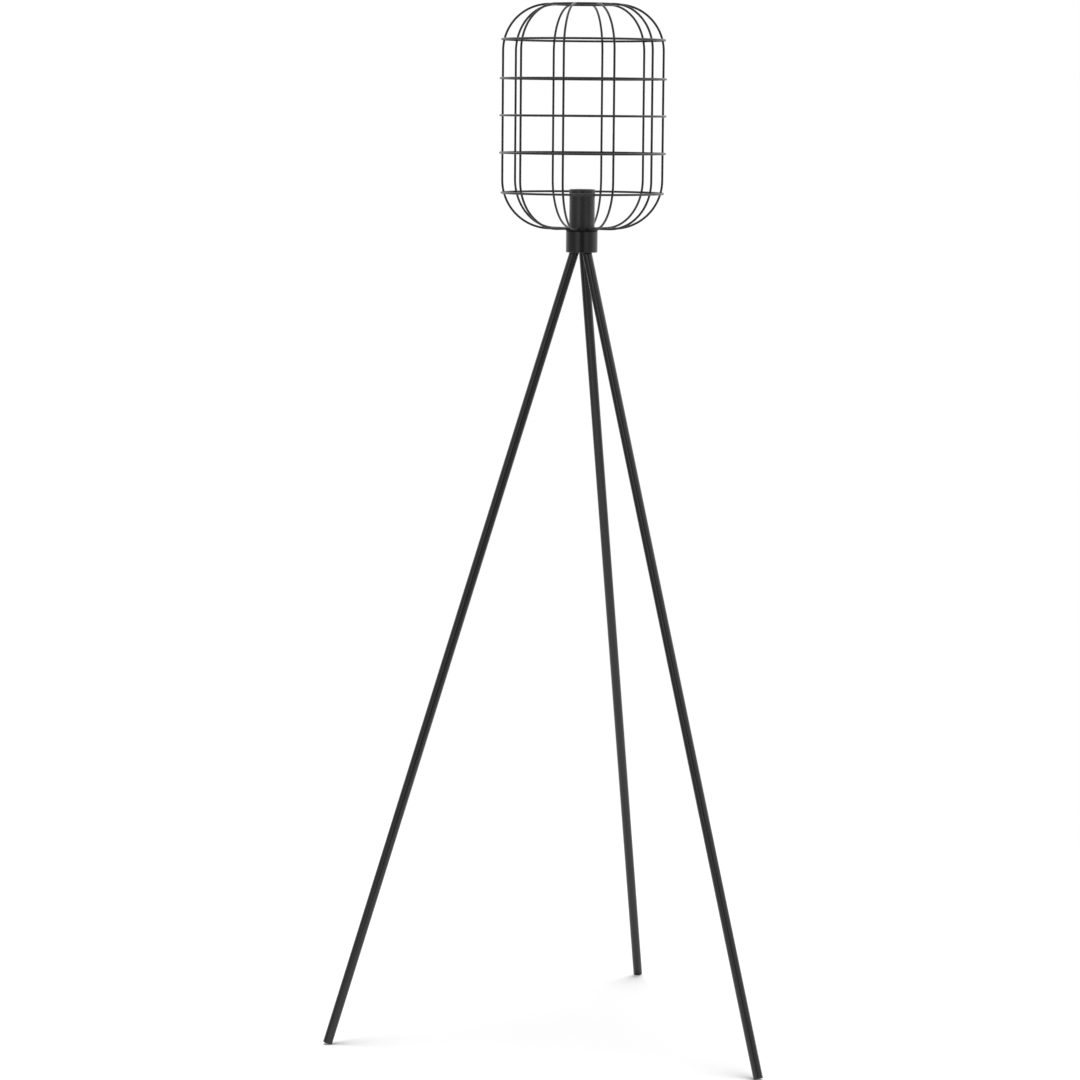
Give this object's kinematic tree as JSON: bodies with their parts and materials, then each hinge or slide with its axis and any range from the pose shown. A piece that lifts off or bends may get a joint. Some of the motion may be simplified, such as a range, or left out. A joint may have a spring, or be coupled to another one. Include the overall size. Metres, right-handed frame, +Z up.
{
  "type": "wire cage floor lamp",
  "caption": "Tall floor lamp: a barrel-shaped cage of bent wire around an upright lampholder, on a small round hub with slim splayed tube legs.",
  "frame": {"origin": "centre of the box round the feet, on the floor", "axes": "+Z up; +Y towards the rear leg; the lamp's own axis is vertical and stands 95.0 mm towards -Y from the origin"},
  "size_m": [0.6728, 0.5846, 1.5468],
  "materials": {
    "leg_coat": "satin black powder coat",
    "hub_coat": "satin black powder coat",
    "plate_coat": "dull black coat",
    "wire_coat": "satin black powder coat",
    "sleeve_coat": "satin black paint",
    "holder_plastic": "semi-matt black thermoset",
    "core_ceramic": "off-white glazed insulator",
    "shell_brass": "bare rolled brass",
    "contact_bronze": "spring bronze strip",
    "plated_steel": "zinc plated",
    "cap_plastic": "matt black moulding",
    "bush_plastic": "matt black moulding"
  },
  "bodies": {
    "root": {"cage_base_plate": "plate_coat", "cage_rib_01": "wire_coat", "cage_rib_02": "wire_coat", "cage_rib_03": "wire_coat", "cage_rib_04": "wire_coat", "cage_rib_05": "wire_coat", "cage_rib_06": "wire_coat", "cage_rib_07": "wire_coat", "cage_rib_08": "wire_coat", "cage_rib_09": "wire_coat", "cage_rib_10": "wire_coat", "cage_ring_1": "wire_coat", "cage_ring_2": "wire_coat", "cage_ring_3": "wire_coat", "cage_ring_4": "wire_coat", "cage_ring_5": "wire_coat", "cage_top_ring": "wire_coat", "centre_contact": "contact_bronze", "clamp_nut": "plated_steel", "cord_bush": "bush_plastic", "foot_cap_left": "cap_plastic", "foot_cap_rear": "cap_plastic", "foot_cap_right": "cap_plastic", "hub_body": "hub_coat", "lampholder_base": "holder_plastic", "lampholder_body": "holder_plastic", "lampholder_core": "core_ceramic", "lampholder_sleeve": "sleeve_coat", "leg_insert_left": "plated_steel", "leg_insert_rear": "plated_steel", "leg_insert_right": "plated_steel", "leg_studs": "plated_steel", "leg_tube_left": "leg_coat", "leg_tube_rear": "leg_coat", "leg_tube_right": "leg_coat", "screw_shell": "shell_brass", "terminal_blocks": "shell_brass", "terminal_screws": "plated_steel", "threaded_nipple": "plated_steel", "washer": "plated_steel"}
  },
  "joints": []
}
